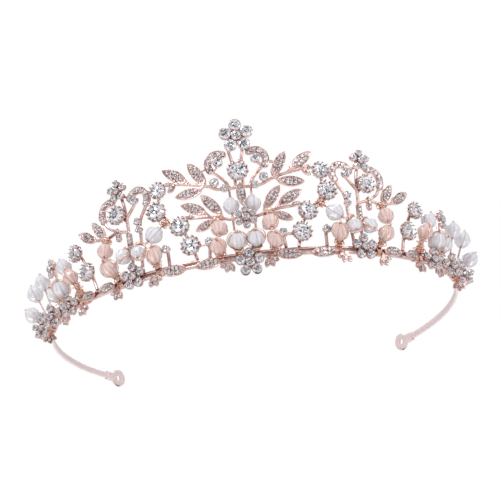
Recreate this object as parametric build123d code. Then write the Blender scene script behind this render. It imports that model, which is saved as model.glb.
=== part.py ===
from build123d import *
import math
import os

# Bridal tiara: a flat horseshoe band that carries a floral front of wire, leaves, set stones
# and beads on wires. Millimetres, +Z up. The tiara stands on its lowest petals and its two
# end loops, with the front facing -Y and the open ends of the band at +Y.
#
# A place on the front is (along, height, out): the arc length from the middle on the band's
# outer face, the height above the rail, and the distance outwards from that face.

# ---- driving dimensions ----
BAND_RADIUS = 75.0
BAND_THICKNESS = 1.0
BAND_HEIGHT = 2.4
BAND_END = 166.0
CENTRE_Y = 15.5
RAIL_HEIGHT = 7.1
ARM_BEND_START_Y = -30.0
ARM_BEND_RADIUS = 820.0

EYELET_OUTER_RADIUS = 3.3
EYELET_BORE_RADIUS = 1.2
EYELET_THICKNESS = 1.2
EYELET_TAIL_WIDTH = 2.0
CRIMP_LENGTH = 3.8
CRIMP_HEIGHT = 3.3
CRIMP_THICKNESS = 2.0

RAIL_WIRE_RADIUS = 0.45
RAIL_WIRE_OUT = 0.47
RAIL_WIRE_HEIGHT = 0.75
RAIL_END = 104.0
RAIL_TOP = RAIL_WIRE_HEIGHT + RAIL_WIRE_RADIUS
RAIL_LEAF_FLOOR = 0.94
RAIL_LEAF_THICKNESS = 0.8

WIRE_RADIUS = 0.55
WIRE_OUT = 0.75
HANGING_WIRE_RADIUS = 0.38
TRAY_FLOOR = 0.3
TRAY_THICKNESS = 1.0
TRAY_TOP = TRAY_FLOOR + TRAY_THICKNESS
TRAY_RIM = 0.22
POCKET_DEPTH = 0.2
LEAF_TIP_RIM = 0.6
LEAF_STONE_SHARE = 0.2
STONE_PITCH = 2.15
ROW_OFFSET = 1.04
SINGLE_ROOM = 1.3
MOST_STEPS = 4
ARC_TRAY_WIDTH = 2.5
ARC_STONE_RADIUS = 0.85
STRIP_TRAY_WIDTH = 1.9
STRIP_STONE_RADIUS = 0.62
TREFOIL_SPREAD = (-48, 0, 48)
TREFOIL_PETAL_LENGTH = 3.4
TREFOIL_PETAL_WIDTH = 2.0
TREFOIL_STONE_RADIUS = 0.6
STALK_RADIUS = 0.4
SETTING_FLOOR = 1.32
SETTING_BASE = 0.5
PETAL_CUP = 0.9
HEART_CUP = 1.2
CUP_RIM = 0.15
FOOT_RADIUS = 0.8
PETAL_STONE_HEIGHT = 0.8
PAVE_HEIGHT = 0.55

CLAWS = 8
CLAW_RADIUS = 0.3
CLAW_RISE = 2.9
CLAW_GAP = 0.03
PIN_RADIUS = 0.35
BEAD_HALF_LENGTH = 0.95
BEAD_CLEARANCE = 0.05
COIL_RADIUS = 0.8
BALL_RADIUS = 0.45
BEAD_END_GAP = 0.35


# ---- places on the front ----
def spot(along, height, out=0.0):
    """The point at this place on the front."""
    turn = along / BAND_RADIUS
    reach = BAND_RADIUS + out
    return Vector(reach * math.sin(turn), CENTRE_Y - reach * math.cos(turn), RAIL_HEIGHT + height)


def seat(along, height, out=0.0, turn=0.0, swing=0.0):
    """The location there that faces outwards, or by the swing in degrees more to the front.

    The turn, in degrees, is about its own normal.
    """
    angle = along / BAND_RADIUS - math.radians(swing)
    tangent = Vector(math.cos(angle), math.sin(angle), 0)
    outward = Vector(math.sin(angle), -math.cos(angle), 0)
    return Plane(spot(along, height, out), x_dir=tangent, z_dir=outward) * Rot(0, 0, turn)


def mirrored(shapes):
    """The same solids on the other side of the middle."""
    return [mirror(shape, about=Plane.YZ) for shape in shapes]


def joined(shapes):
    """One solid, or one list of solids, from pieces that meet."""
    whole = shapes[0]
    for shape in shapes[1:]:
        whole = whole + shape
    return list(whole.solids())


def trimmed(shapes, neighbours):
    """The shapes without the space their neighbours fill."""
    kept = []
    for shape in shapes:
        box = shape.bounding_box()
        near = [other for other in neighbours if box.overlaps(other.bounding_box())]
        for other in near:
            shape = shape - other
        kept.extend(shape.solids())
    return kept


# ---- wire, trays, settings and stones ----
def straight_rod(start, end, radius):
    """A straight round wire between two points."""
    run = end - start
    return peg(Plane(start, z_dir=run), radius, run.length)


def rod(places, radius=WIRE_RADIUS, out=WIRE_OUT):
    """A bent round wire through places given as (along, height) or (along, height, out)."""
    points = [spot(*place) if len(place) == 3 else spot(*place, out) for place in places]
    if len(points) == 2:
        return straight_rod(points[0], points[1], radius)
    radii = []
    for before, corner, after in zip(points, points[1:], points[2:]):
        arriving = corner - before
        leaving = after - corner
        half_turn = math.radians(arriving.get_angle(leaving) / 2)
        shorter = min(arriving.length, leaving.length)
        radii.append(0.45 * shorter / math.tan(half_turn))
    path = FilletPolyline(*points, radius=radii)
    profile = Plane(path @ 0, z_dir=path % 0) * Circle(radius)
    return sweep(profile, path=path)


def peg(plane, radius, height):
    """A round peg that stands on a plane."""
    return plane * Cylinder(radius, height, align=(Align.CENTER, Align.CENTER, Align.MIN))


def small_stone(place, radius):
    """A small round stone with a flat top, standing on a pocket's floor."""
    return place * Cone(radius, 0.6 * radius, PAVE_HEIGHT, align=(Align.CENTER, Align.CENTER, Align.MIN))


def leaf_outline(length, width):
    """A full leaf from the origin along +X, blunt at its base and pointed at its tip."""
    upper = Bezier((0, 0), (0.1 * length, 0.6 * width), (0.75 * length, 0.75 * width), (length, 0))
    lower = Bezier((length, 0), (0.75 * length, -0.75 * width), (0.1 * length, -0.6 * width), (0, 0))
    return make_face([upper, lower])


def run_seat(start, end, floor):
    """The place at a run's start with +X towards its end, and the run's length."""
    run = (end[0] - start[0], end[1] - start[1])
    middle = ((end[0] + start[0]) / 2, (end[1] + start[1]) / 2)
    length = math.hypot(*run)
    place = seat(*middle, floor, math.degrees(math.atan2(run[1], run[0])))
    return place * Pos(-length / 2, 0, 0), length


def pocketed_leaf(length, width, thickness):
    """A leaf-shaped tray along +X whose rim stands round a shallow pocket for small stones."""
    tray = extrude(leaf_outline(length, width), thickness)
    pocket = extrude(leaf_outline(length - 2 * LEAF_TIP_RIM, width - 2 * TRAY_RIM), POCKET_DEPTH)
    return tray - Pos(LEAF_TIP_RIM, 0, thickness - POCKET_DEPTH) * pocket


def pocket_stones(place, length, width, thickness):
    """The small stones in a leaf's pocket: pairs where it is wide enough, single ones near the points."""
    pocket_length = length - 2 * LEAF_TIP_RIM
    pocket_width = width - 2 * TRAY_RIM
    radius = LEAF_STONE_SHARE * pocket_width
    pitch = STONE_PITCH * radius
    stones = []
    for step in range(-MOST_STEPS, MOST_STEPS + 1):
        share = 0.5 + step * pitch / pocket_length
        half_width = 0.46 * pocket_width * (1 - abs(2 * share - 1) ** 3)
        if half_width >= radius * (ROW_OFFSET + 1):
            rows = (-ROW_OFFSET * radius, ROW_OFFSET * radius)
        elif half_width >= SINGLE_ROOM * radius:
            rows = (0,)
        else:
            rows = ()
        for row in rows:
            middle = Pos(length / 2 + step * pitch, row, thickness - POCKET_DEPTH)
            stones.append(small_stone(place * middle, radius))
    return stones


def leaf_tray(base, tip, width, floor=TRAY_FLOOR, thickness=TRAY_THICKNESS):
    """A pocketed leaf between two places on the front."""
    place, length = run_seat(base, tip, floor)
    return place * pocketed_leaf(length, width, thickness)


def leaf_stones(base, tip, width, floor=TRAY_FLOOR, thickness=TRAY_THICKNESS):
    """The small stones of that leaf."""
    place, length = run_seat(base, tip, floor)
    return pocket_stones(place, length, width, thickness)


def pod_tray(base, tip, width):
    """A small pointed pod without a pocket."""
    place, length = run_seat(base, tip, TRAY_FLOOR)
    return place * extrude(leaf_outline(length, width), TRAY_THICKNESS)


def pod_stone(base, tip, width):
    """The one stone on a pod."""
    place, length = run_seat(base, tip, TRAY_TOP)
    return small_stone(place * Pos(length / 2, 0, 0), 0.36 * width)


def arc_tray(middle, radius, start, size, count):
    """A curved tray with round ends, about a middle point, between two angles in degrees."""
    outline = SlotArc(CenterArc((0, 0), radius, start, size), ARC_TRAY_WIDTH)
    return extrude(seat(*middle, TRAY_FLOOR) * outline, TRAY_THICKNESS)


def arc_pocket(middle, radius, start, size, count):
    """The pocket to cut into a curved tray."""
    outline = SlotArc(CenterArc((0, 0), radius, start, size), ARC_TRAY_WIDTH - 2 * TRAY_RIM)
    return extrude(seat(*middle, TRAY_TOP - POCKET_DEPTH) * outline, 2 * POCKET_DEPTH)


def arc_stones(middle, radius, start, size, count):
    """Small stones spaced along a curved tray's pocket."""
    stones = []
    for index in range(count):
        angle = math.radians(start + size * index / (count - 1))
        station = Pos(radius * math.cos(angle), radius * math.sin(angle), 0)
        stones.append(small_stone(seat(*middle, TRAY_TOP - POCKET_DEPTH) * station, ARC_STONE_RADIUS))
    return stones


def strip_tray(start, end, count):
    """A straight tray with round ends between two places."""
    place, length = run_seat(start, end, TRAY_FLOOR)
    outline = Pos(length / 2, 0) * SlotCenterToCenter(length, STRIP_TRAY_WIDTH)
    return place * extrude(outline, TRAY_THICKNESS)


def strip_pocket(start, end, count):
    """The pocket to cut into a straight tray."""
    place, length = run_seat(start, end, TRAY_TOP - POCKET_DEPTH)
    outline = Pos(length / 2, 0) * SlotCenterToCenter(length, STRIP_TRAY_WIDTH - 2 * TRAY_RIM)
    return place * extrude(outline, 2 * POCKET_DEPTH)


def strip_stones(start, end, count):
    """Small stones spaced along a straight tray's pocket."""
    place, length = run_seat(start, end, TRAY_TOP - POCKET_DEPTH)
    stations = [length * index / (count - 1) for index in range(count)]
    return [small_stone(place * Pos(station, 0, 0), STRIP_STONE_RADIUS) for station in stations]


def cup_stone(place, cup_radius):
    """The round stone that fills a cup's top."""
    rim = cup_radius - CUP_RIM
    return place * Cone(rim, 0.6 * rim, PETAL_STONE_HEIGHT, align=(Align.CENTER, Align.CENTER, Align.MIN))


def petal_places(petals, pitch):
    """The middles of a flower's petals, as (x, y) on the flower's own plane, the first at the top."""
    turns = [math.radians(90 + 360 * index / petals) for index in range(petals)]
    return [(pitch * math.cos(turn), pitch * math.sin(turn)) for turn in turns]


def flower_floor(pitch, cup_radius, swing, lift):
    """How far out a flower's back stands: clear of the rail at its inner edge, and further by its lift."""
    return SETTING_FLOOR + lift + (pitch + cup_radius) * math.sin(math.radians(swing))


def flower(along, height, petals, pitch, cup_radius, heart_radius, swing=0.0, lift=0.0):
    """A flower's metal: a back disc, a round cup for each petal and one for the heart."""
    floor = flower_floor(pitch, cup_radius, swing, lift)
    plane = seat(along, height, floor, swing=swing)
    pieces = [peg(plane, pitch - 0.5 * cup_radius, SETTING_BASE)]
    pieces.append(peg(plane, heart_radius, HEART_CUP))
    for x, y in petal_places(petals, pitch):
        pieces.append(peg(plane * Pos(x, y, 0), cup_radius, PETAL_CUP))
    if abs(height) < pitch:
        pieces.append(peg(seat(along, 0, RAIL_LEAF_FLOOR), FOOT_RADIUS, floor - RAIL_LEAF_FLOOR + 0.2))
    elif lift > 0:
        pieces.append(peg(seat(along, height, WIRE_OUT), FOOT_RADIUS, floor - WIRE_OUT + 0.2))
    return joined(pieces)


def flower_stones(along, height, petals, pitch, cup_radius, heart_radius, swing=0.0, lift=0.0):
    """A flower's stones, one on each petal cup and a raised one on the heart."""
    plane = seat(along, height, flower_floor(pitch, cup_radius, swing, lift), swing=swing)
    stones = [cup_stone(plane * Pos(x, y, PETAL_CUP), cup_radius) for x, y in petal_places(petals, pitch)]
    stones.append(cup_stone(plane * Pos(0, 0, HEART_CUP), heart_radius))
    return stones


def claw_cup(along, height, stone_radius):
    """A round base with a ring of claws around a stone."""
    plane = seat(along, height, SETTING_FLOOR)
    reach = stone_radius + CLAW_RADIUS + CLAW_GAP
    pieces = [peg(plane, reach, SETTING_BASE)]
    for index in range(CLAWS):
        turn = 2 * math.pi * (index + 0.5) / CLAWS
        foot = Pos(reach * math.cos(turn), reach * math.sin(turn), 0)
        pieces.append(peg(plane * foot, CLAW_RADIUS, CLAW_RISE))
    return joined(pieces)


def claw_stone(along, height, stone_radius):
    """A round cut stone that stands on its cup's base: pavilion, girdle and crown."""
    plane = seat(along, height, SETTING_FLOOR + SETTING_BASE)
    profile = Polyline(
        (0, 0), (0.3 * stone_radius, 0), (stone_radius, 1.2), (stone_radius, 1.45),
        (0.62 * stone_radius, 2.2), (0, 2.2), close=True)
    return plane * revolve(Plane.XZ * make_face(profile), axis=Axis.Z)


def bezel_cup(along, height, radius):
    """A small round cup."""
    return peg(seat(along, height, SETTING_FLOOR), radius, PETAL_CUP)


def bezel_stone(along, height, radius):
    """The stone on a small round cup."""
    return cup_stone(seat(along, height, SETTING_FLOOR + PETAL_CUP), radius)


def trefoil(along, height, direction, swing=0.0):
    """A bud of three petals that fan out from a ball, on a short stalk from the rail."""
    plane = seat(along, height, RAIL_LEAF_FLOOR, direction, swing)
    pieces = [peg(plane, 0.8, 0.9)]
    for spread in TREFOIL_SPREAD:
        petal = extrude(leaf_outline(TREFOIL_PETAL_LENGTH, TREFOIL_PETAL_WIDTH), RAIL_LEAF_THICKNESS)
        pieces.append(plane * Rot(0, 0, spread) * petal)
    stalk_out = RAIL_LEAF_FLOOR + STALK_RADIUS + 0.02
    pieces.append(straight_rod(spot(along, height, stalk_out), spot(along, -0.6, stalk_out), STALK_RADIUS))
    return joined(pieces)


def trefoil_stones(along, height, direction, swing=0.0):
    """The stone on each petal of a bud."""
    plane = seat(along, height, RAIL_LEAF_FLOOR, direction, swing)
    middle = Pos(0.58 * TREFOIL_PETAL_LENGTH, 0, RAIL_LEAF_THICKNESS)
    places = [plane * Rot(0, 0, spread) * middle for spread in TREFOIL_SPREAD]
    return [small_stone(place, TREFOIL_STONE_RADIUS) for place in places]


# ---- beads ----
def bead_plane(middle, root):
    """The plane at a bead's middle whose normal runs along its wire, away from the root."""
    centre = spot(*middle)
    return Plane(centre, z_dir=centre - spot(*root))


def bored_bead(radius, wire_radius):
    """A cut bead about the origin, with a hole along Z that clears its wire."""
    half = BEAD_HALF_LENGTH * radius
    bore = wire_radius + BEAD_CLEARANCE
    profile = Polyline(
        (bore, -half), (0.5 * radius, -half), (radius, -0.15 * radius), (radius, 0.15 * radius),
        (0.5 * radius, half), (bore, half), close=True)
    return revolve(Plane.XZ * make_face(profile), axis=Axis.Z)


def bead(middle, root, radius):
    """A cut bead threaded on the wire that comes from its root."""
    return bead_plane(middle, root) * bored_bead(radius, PIN_RADIUS)


def bead_wire(middle, root, radius):
    """The straight wire through a bead, with a coil at its root and a ball past the bead."""
    half = BEAD_HALF_LENGTH * radius
    foot = spot(*root)
    plane = bead_plane(middle, root)
    reach = (spot(*middle) - foot).length
    coil_length = min(1.6, reach - half - BEAD_END_GAP)
    ball_height = half + BEAD_END_GAP + BALL_RADIUS
    wire = peg(plane * Pos(0, 0, -reach), PIN_RADIUS, reach + ball_height)
    coil = peg(plane * Pos(0, 0, -reach), COIL_RADIUS, coil_length)
    ball = plane * Pos(0, 0, ball_height) * Sphere(BALL_RADIUS)
    return joined([wire, coil, ball])


# ---- band, end loops and rail ----
def make_band():
    """A flat strip on a circle, level at the front, whose arms sink gently to the back."""
    shell = Pos(0, CENTRE_Y, 0) * (Cylinder(BAND_RADIUS, 60) - Cylinder(BAND_RADIUS - BAND_THICKNESS, 60))
    back_y = CENTRE_Y + BAND_RADIUS
    start = Vector(CENTRE_Y + ARM_BEND_START_Y, RAIL_HEIGHT)
    turn = math.asin((back_y - start.X) / ARM_BEND_RADIUS)
    end = Vector(back_y, RAIL_HEIGHT - ARM_BEND_RADIUS * (1 - math.cos(turn)))
    middle = Vector(
        start.X + ARM_BEND_RADIUS * math.sin(turn / 2),
        RAIL_HEIGHT - ARM_BEND_RADIUS * (1 - math.cos(turn / 2)))
    half = Vector(0, BAND_HEIGHT / 2)
    front = Vector(CENTRE_Y - BAND_RADIUS - 1, RAIL_HEIGHT)
    outline = make_face([
        Line(front + half, start + half),
        ThreePointArc(start + half, middle + half, end + half),
        Line(end + half, end - half),
        ThreePointArc(end - half, middle - half, start - half),
        Line(start - half, front - half),
        Line(front - half, front + half)])
    ribbon = extrude(Plane.YZ * outline, BAND_RADIUS + 1, both=True)
    end_turn = math.degrees(BAND_END / BAND_RADIUS)
    far = 2 * BAND_RADIUS
    open_back = make_face(Polyline(
        (0, 0),
        (far * math.sin(math.radians(end_turn)), -far * math.cos(math.radians(end_turn))),
        (0, far),
        (-far * math.sin(math.radians(end_turn)), -far * math.cos(math.radians(end_turn))),
        close=True))
    gap = Pos(0, CENTRE_Y, -far / 2) * extrude(open_back, far)
    return list(((shell & ribbon) - gap).solids())


def arm_drop(along):
    """How far the band's middle line has sunk below the rail at this arc length."""
    y = -BAND_RADIUS * math.cos(along / BAND_RADIUS)
    run = max(0.0, y - ARM_BEND_START_Y)
    return ARM_BEND_RADIUS - math.sqrt(ARM_BEND_RADIUS**2 - run**2)


def arm_slope(along):
    """The slope of the band's middle line there, in degrees, downwards to the back."""
    step = 0.5
    return -math.degrees(math.atan((arm_drop(along + step) - arm_drop(along - step)) / (2 * step)))


EYELET_ALONG = BAND_END + CRIMP_LENGTH / 2 - 0.9 + EYELET_OUTER_RADIUS + 0.6


def eyelet_seat():
    """The plane of the right end loop, through its ring's middle, facing outwards."""
    arm = seat(BAND_END, -arm_drop(BAND_END), -BAND_THICKNESS / 2, arm_slope(BAND_END))
    return arm * Pos(EYELET_ALONG - BAND_END, 0, 0)


def make_eyelet():
    """A flat ring with a tail that goes into the crimp."""
    place = eyelet_seat()
    flat = extrude(Circle(EYELET_OUTER_RADIUS), EYELET_THICKNESS / 2, both=True)
    tail_length = EYELET_ALONG - BAND_END - 0.1
    tail = Pos(-tail_length / 2, 0, 0) * Box(tail_length, EYELET_TAIL_WIDTH, EYELET_THICKNESS)
    bore = Cylinder(EYELET_BORE_RADIUS, 2 * EYELET_THICKNESS)
    return list((place * (flat + tail - bore)).solids())


def make_crimp(band, eyelet):
    """A flat ferrule pressed over the band's end and the loop's tail."""
    place = eyelet_seat() * Pos(BAND_END - EYELET_ALONG, 0, 0)
    sleeve = Box(CRIMP_LENGTH, CRIMP_HEIGHT, CRIMP_THICKNESS)
    sleeve = fillet(sleeve.edges().filter_by(Axis.X), 0.5)
    dents = [Pos(x, 0, CRIMP_THICKNESS / 2) * Sphere(0.45) for x in (-0.9, 0.9)]
    return trimmed(joined([place * sleeve] + [place * dent for dent in dents]), band + eyelet)


def make_rail_wires():
    """Two round wires soldered to the front of the band, one above the other."""
    wires = []
    sweep_angle = math.degrees(RAIL_END / BAND_RADIUS)
    for side in (-1, 1):
        level = RAIL_HEIGHT + side * RAIL_WIRE_HEIGHT
        path = Pos(0, CENTRE_Y, level) * CenterArc(
            (0, 0), BAND_RADIUS + RAIL_WIRE_OUT, -90 - sweep_angle, 2 * sweep_angle)
        wires.append(sweep(Plane(path @ 0, z_dir=path % 0) * Circle(RAIL_WIRE_RADIUS), path=path))
    return wires


RAIL_LEAVES = [
    ((8.8, -0.9), (17.8, -1.4), 3.7),
    ((20.2, -1.2), (29.8, -0.7), 3.7),
    ((47.3, 0.1), (55.2, 0.1), 3.3),
    ((57.0, 0.0), (64.0, 0.2), 3.2),
]
TREFOILS = [(6.4, -2.0, -65), (32.2, -1.6, -110), (46.4, -2.2, -60), (64.4, -2.4, -105), (76.0, -2.2, -95),
            (98.6, -2.0, -90, 55)]
END_LEAF_PLACE = (101.5, 0.0, 2.4)
END_LEAF_TURN = -62.0
END_LEAF_SWING = 55.0
END_LEAF_LENGTH = 6.0
END_LEAF_WIDTH = 2.9


def end_leaf_seat():
    """The place of the end leaf's base, with +X towards its tip."""
    along, height, out = END_LEAF_PLACE
    place = seat(along, height, out, END_LEAF_TURN, END_LEAF_SWING)
    return place * Pos(-END_LEAF_LENGTH / 2, 0, 0)


def end_leaf():
    """The last leaf, which turns to the front on a peg from the rail."""
    along, height, out = END_LEAF_PLACE
    tray = end_leaf_seat() * pocketed_leaf(END_LEAF_LENGTH, END_LEAF_WIDTH, RAIL_LEAF_THICKNESS)
    stalk = peg(seat(along, height, RAIL_LEAF_FLOOR), STALK_RADIUS, out + 0.3 - RAIL_LEAF_FLOOR)
    return joined([tray, stalk])


def make_rail_leaves():
    """Stone-set leaves that lie along the rail, and the last one that turns to the front."""
    return [leaf_tray(*leaf, RAIL_LEAF_FLOOR, RAIL_LEAF_THICKNESS) for leaf in RAIL_LEAVES] + end_leaf()


def make_rail_stones():
    """The small stones on the rail leaves and on the buds' petals."""
    stones = pocket_stones(end_leaf_seat(), END_LEAF_LENGTH, END_LEAF_WIDTH, RAIL_LEAF_THICKNESS)
    for leaf in RAIL_LEAVES:
        stones += leaf_stones(*leaf, RAIL_LEAF_FLOOR, RAIL_LEAF_THICKNESS)
    for bud in TREFOILS:
        stones += trefoil_stones(*bud)
    return stones


# ---- the middle motif ----
SCROLL = ((6.1, 32.6), 3.5, -35, 155, 6)
TOP_FLOWER = (0.9, 41.2, 5, 3.85, 2.0, 1.6)
MIDDLE_FLOWER = (0.7, 12.1, 6, 2.75, 1.15, 1.25, 0, 1.4)
BASE_FLOWER = (0.3, -2.9, 5, 3.2, 1.6, 1.45)
HANGING_ALONG = 3.55
BAR_END = (10.2, 25.4)
CROSS_WIRE_HEIGHT = 12.9
CROSS_WIRE_END = 4.5


def make_centre_frame():
    """Posts, cross wire, bar, stems and scroll trays of the middle motif, soldered together."""
    bar_half = [(0, 23.9), (3.2, 23.5), (7.2, 23.7), BAR_END]
    bar = [(-along, height) for along, height in reversed(bar_half)] + bar_half[1:]
    pieces = [rod(bar)]
    pieces.append(rod([(-CROSS_WIRE_END, CROSS_WIRE_HEIGHT), (0, 13.0), (CROSS_WIRE_END, CROSS_WIRE_HEIGHT)]))
    right = [rod([(3.4, RAIL_TOP), (HANGING_ALONG, CROSS_WIRE_HEIGHT)], HANGING_WIRE_RADIUS)]
    right.append(rod([(HANGING_ALONG, CROSS_WIRE_HEIGHT), (HANGING_ALONG, 23.5)], HANGING_WIRE_RADIUS))
    right.append(rod([(3.3, 23.6), (4.4, 26.2), (6.3, 28.3), (8.9, 30.7)]))
    right.append(rod([(1.3, 23.7), (1.3, 31.5), (2.4, 37.4), (2.2, 39.6)]))
    right.append(rod([(5.9, 32.7), (8.2, 30.2)]))
    right.append(rod([(9.6, 31.9), (12.0, 31.3)]))
    right.append(arc_tray(*SCROLL))
    pieces += right + mirrored(right)
    pocket = arc_pocket(*SCROLL)
    return trimmed(joined(pieces), [pocket] + mirrored([pocket]))


DROP_LEAF = ((0, 24.4), (0.2, 16.2), 3.1)
DROP_LEAF_FLOOR = 2.95


def make_drop_leaf():
    """A leaf that hangs in front of the bar on a short peg."""
    tray = leaf_tray(*DROP_LEAF, DROP_LEAF_FLOOR, RAIL_LEAF_THICKNESS)
    hook = peg(seat(0, 23.3, WIRE_OUT), 0.4, DROP_LEAF_FLOOR - WIRE_OUT + 0.2)
    return joined([tray, hook])


def make_centre_pave():
    """Small stones on the scrolls and the drop leaf."""
    right = arc_stones(*SCROLL)
    return right + mirrored(right) + leaf_stones(*DROP_LEAF, DROP_LEAF_FLOOR, RAIL_LEAF_THICKNESS)


BEZELS = [(6.1, 32.7, 1.6), (5.0, 23.4, 1.25), (8.0, 25.9, 1.5), (36.0, 26.4, 1.5), (35.5, 18.7, 1.2),
          (35.2, 15.9, 1.2), (26.4, 6.6, 1.4), (11.9, 6.2, 1.3), (75.3, 0.35, 0.9), (89.9, -0.2, 1.1),
          (104.4, 0.0, 1.2)]


# ---- sprays and claw-set stones beside the middle motif ----
UPPER_LEAVES = [
    ((11.0, 26.4), (16.2, 34.7), 3.7),
    ((16.9, 28.2), (25.2, 34.5), 3.7),
    ((12.5, 24.4), (21.6, 23.8), 3.5),
]
UPPER_PODS = [((21.8, 28.7), (25.2, 29.3), 1.7), ((21.4, 28.2), (24.0, 26.0), 1.7)]
LOWER_LEAVES = [
    ((6.9, 15.2), (13.1, 22.9), 3.5),
    ((11.8, 16.5), (20.2, 20.9), 3.5),
    ((9.7, 13.4), (16.0, 10.7), 3.0),
]
LOWER_PODS = [((15.8, 15.5), (19.2, 16.6), 1.7)]


def make_upper_spray():
    """A stem with three leaves and two pods, from the end of the bar."""
    pieces = [rod([BAR_END, (13.4, 26.6), (18.1, 27.8), (22.8, 28.9)])]
    pieces += [rod([(11.2, 26.0), (11.6, 27.7)]), rod([(16.2, 27.3), (17.8, 28.9)])]
    pieces += [rod([(11.6, 25.9), (13.6, 24.5)])]
    pieces += [leaf_tray(*leaf) for leaf in UPPER_LEAVES] + [pod_tray(*pod) for pod in UPPER_PODS]
    return joined(pieces)


def make_lower_spray():
    """A stem with three leaves and a pod, from the end of the cross wire."""
    pieces = [rod([(CROSS_WIRE_END, CROSS_WIRE_HEIGHT), (6.6, 13.6), (10.5, 14.9), (16.2, 15.5)])]
    pieces += [rod([(6.8, 13.8), (7.4, 16.0)]), rod([(11.0, 15.1), (12.6, 16.9)])]
    pieces += [rod([(8.6, 14.3), (10.0, 13.4)])]
    pieces += [leaf_tray(*leaf) for leaf in LOWER_LEAVES] + [pod_tray(*pod) for pod in LOWER_PODS]
    return joined(pieces)


def make_spray_stones():
    """The rows of small stones on the leaves and pods of the sprays."""
    stones = []
    for leaf in UPPER_LEAVES + LOWER_LEAVES:
        stones += leaf_stones(*leaf)
    return stones + [pod_stone(*pod) for pod in UPPER_PODS + LOWER_PODS]


CENTRE_STONE = (0, 28.8, 3.1)
CLAW_SET = [(17.9, 5.8, 2.95), (20.7, 13.0, 2.95), (28.1, 19.9, 3.0), (26.8, 27.1, 2.55),
            (43.0, 23.0, 2.85), (58.6, 7.9, 2.8), (63.9, 16.2, 2.6)]


def make_stone_stem():
    """The stem behind the four claw-set stones that rise from the rail."""
    stem = [(16.6, RAIL_TOP), (17.6, 5.0), (20.3, 12.6), (25.6, 17.2), (28.2, 20.8), (27.0, 27.2)]
    short_stem = [(12.4, RAIL_TOP), (11.9, 6.2), (16.6, 5.6)]
    link = [(26.2, RAIL_TOP), (26.4, 6.8)]
    return joined([rod(stem), rod(short_stem)]) + [rod(link)]


# ---- the side motif ----
INNER_ARC = ((34.9, 26.6), 3.4, 20, 195, 7)
OUTER_ARC = ((46.8, 25.2), 3.8, -30, 139, 6)
SIDE_FLOWER = (42.3, 31.6, 5, 2.6, 1.25, 1.1)
SIDE_BASE_FLOWER = (39.2, 0.6, 5, 3.1, 1.5, 1.35)
SIDE_STRIPS = [((40.0, 15.6), (39.8, 11.2), 4), ((44.4, 18.2), (44.2, 15.2), 3)]
SIDE_LEAVES = [((50.2, 17.6), (55.4, 24.6), 3.5), ((54.4, 17.9), (63.0, 22.9), 3.5)]


def make_side_frame():
    """Stems, two curved trays, two strips and two leaves of the side motif."""
    pieces = [rod([(39.4, RAIL_TOP), (39.9, 12.0), (40.1, 19.0), (40.6, 25.5), (42.0, 31.0)])]
    pieces.append(rod([(36.2, RAIL_TOP), (35.6, 10.0), (35.3, 19.4), (33.0, 22.8), (32.3, 24.6)]))
    pieces.append(rod([(36.0, 26.4), (40.2, 21.4)]))
    pieces.append(rod([(40.2, 20.4), (43.4, 23.0)]))
    pieces.append(rod([(49.9, 23.2), (48.4, 20.4), (44.6, 18.0), (40.0, 16.6)]))
    pieces.append(rod([(44.6, 18.0), (49.6, 16.7), (54.6, 18.0)]))
    pieces.append(rod([(37.9, 28.0), (40.6, 29.6)]))
    pieces.append(rod([(45.6, 28.6), (43.6, 30.0)]))
    pieces.append(rod([(50.2, 17.0), (50.9, 18.6)]))
    pieces.append(arc_tray(*INNER_ARC))
    pieces.append(arc_tray(*OUTER_ARC))
    pieces += [strip_tray(*strip) for strip in SIDE_STRIPS]
    pieces += [leaf_tray(*leaf) for leaf in SIDE_LEAVES]
    pockets = [arc_pocket(*INNER_ARC), arc_pocket(*OUTER_ARC)]
    pockets += [strip_pocket(*strip) for strip in SIDE_STRIPS]
    return trimmed(joined(pieces), pockets)


def make_side_pave():
    """Small stones on the side motif's trays, strips and leaves."""
    stones = arc_stones(*INNER_ARC) + arc_stones(*OUTER_ARC)
    for strip in SIDE_STRIPS:
        stones += strip_stones(*strip)
    for leaf in SIDE_LEAVES:
        stones += leaf_stones(*leaf)
    return stones


# ---- the end motif ----
END_FLOWERS = [
    (70.0, -0.6, 5, 2.8, 1.3, 1.15, 20),
    (82.2, -0.6, 5, 3.1, 1.45, 1.3, 32),
    (83.2, 17.4, 5, 2.4, 1.1, 1.0, 0),
    (94.4, -0.9, 5, 2.6, 1.2, 1.05, 45),
]


def make_end_vine():
    """The end motif's two stems, from the rail to its claw-set stones and its high flower."""
    first = rod([(56.4, RAIL_TOP), (58.4, 7.6), (61.4, 12.0), (64.0, 16.4)])
    second = rod([(80.4, RAIL_TOP), (81.6, 9.0), (83.2, 17.4)])
    return [first, second]


# ---- beads ----
# Each bead: its middle, the root of its wire, and its radius.
SPINNING_BEADS = {
    "waist_bead": ((29.2, 11.8, 3.8), (24.9, 16.6, 1.3), 2.95),
    "side_bead": ((48.2, 11.6, 3.8), (49.0, 16.7, 1.3), 2.75),
    "shoulder_bead": ((70.1, 13.4, 3.6), (65.2, 1.1, 0.95), 2.8),
    "crest_bead": ((89.4, 14.4, 3.8), (87.4, 1.1, 0.95), 2.85),
    "corner_bead": ((96.8, 12.8, 5.2), (94.6, 1.1, 0.95), 2.95),
    "end_bead": ((99.6, 5.9, 6.2), (98.2, 1.1, 0.95), 2.95),
}
HANGING_BEAD = ((HANGING_ALONG, 17.5, WIRE_OUT), 2.75)
CLEAR_BEADS = [
    ((2.8, 4.3, 4.5), (3.0, 1.25, 1.35), 2.75),
    ((40.8, 7.4, 4.2), (40.0, 10.4, 1.3), 2.7),
    ((35.1, 7.0, 4.2), (35.6, 10.9, 1.3), 2.7),
    ((71.7, 6.2, 4.6), (73.6, 1.1, 0.95), 3.0),
    ((78.2, 6.2, 4.0), (77.4, 1.1, 0.95), 2.7),
]
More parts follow.
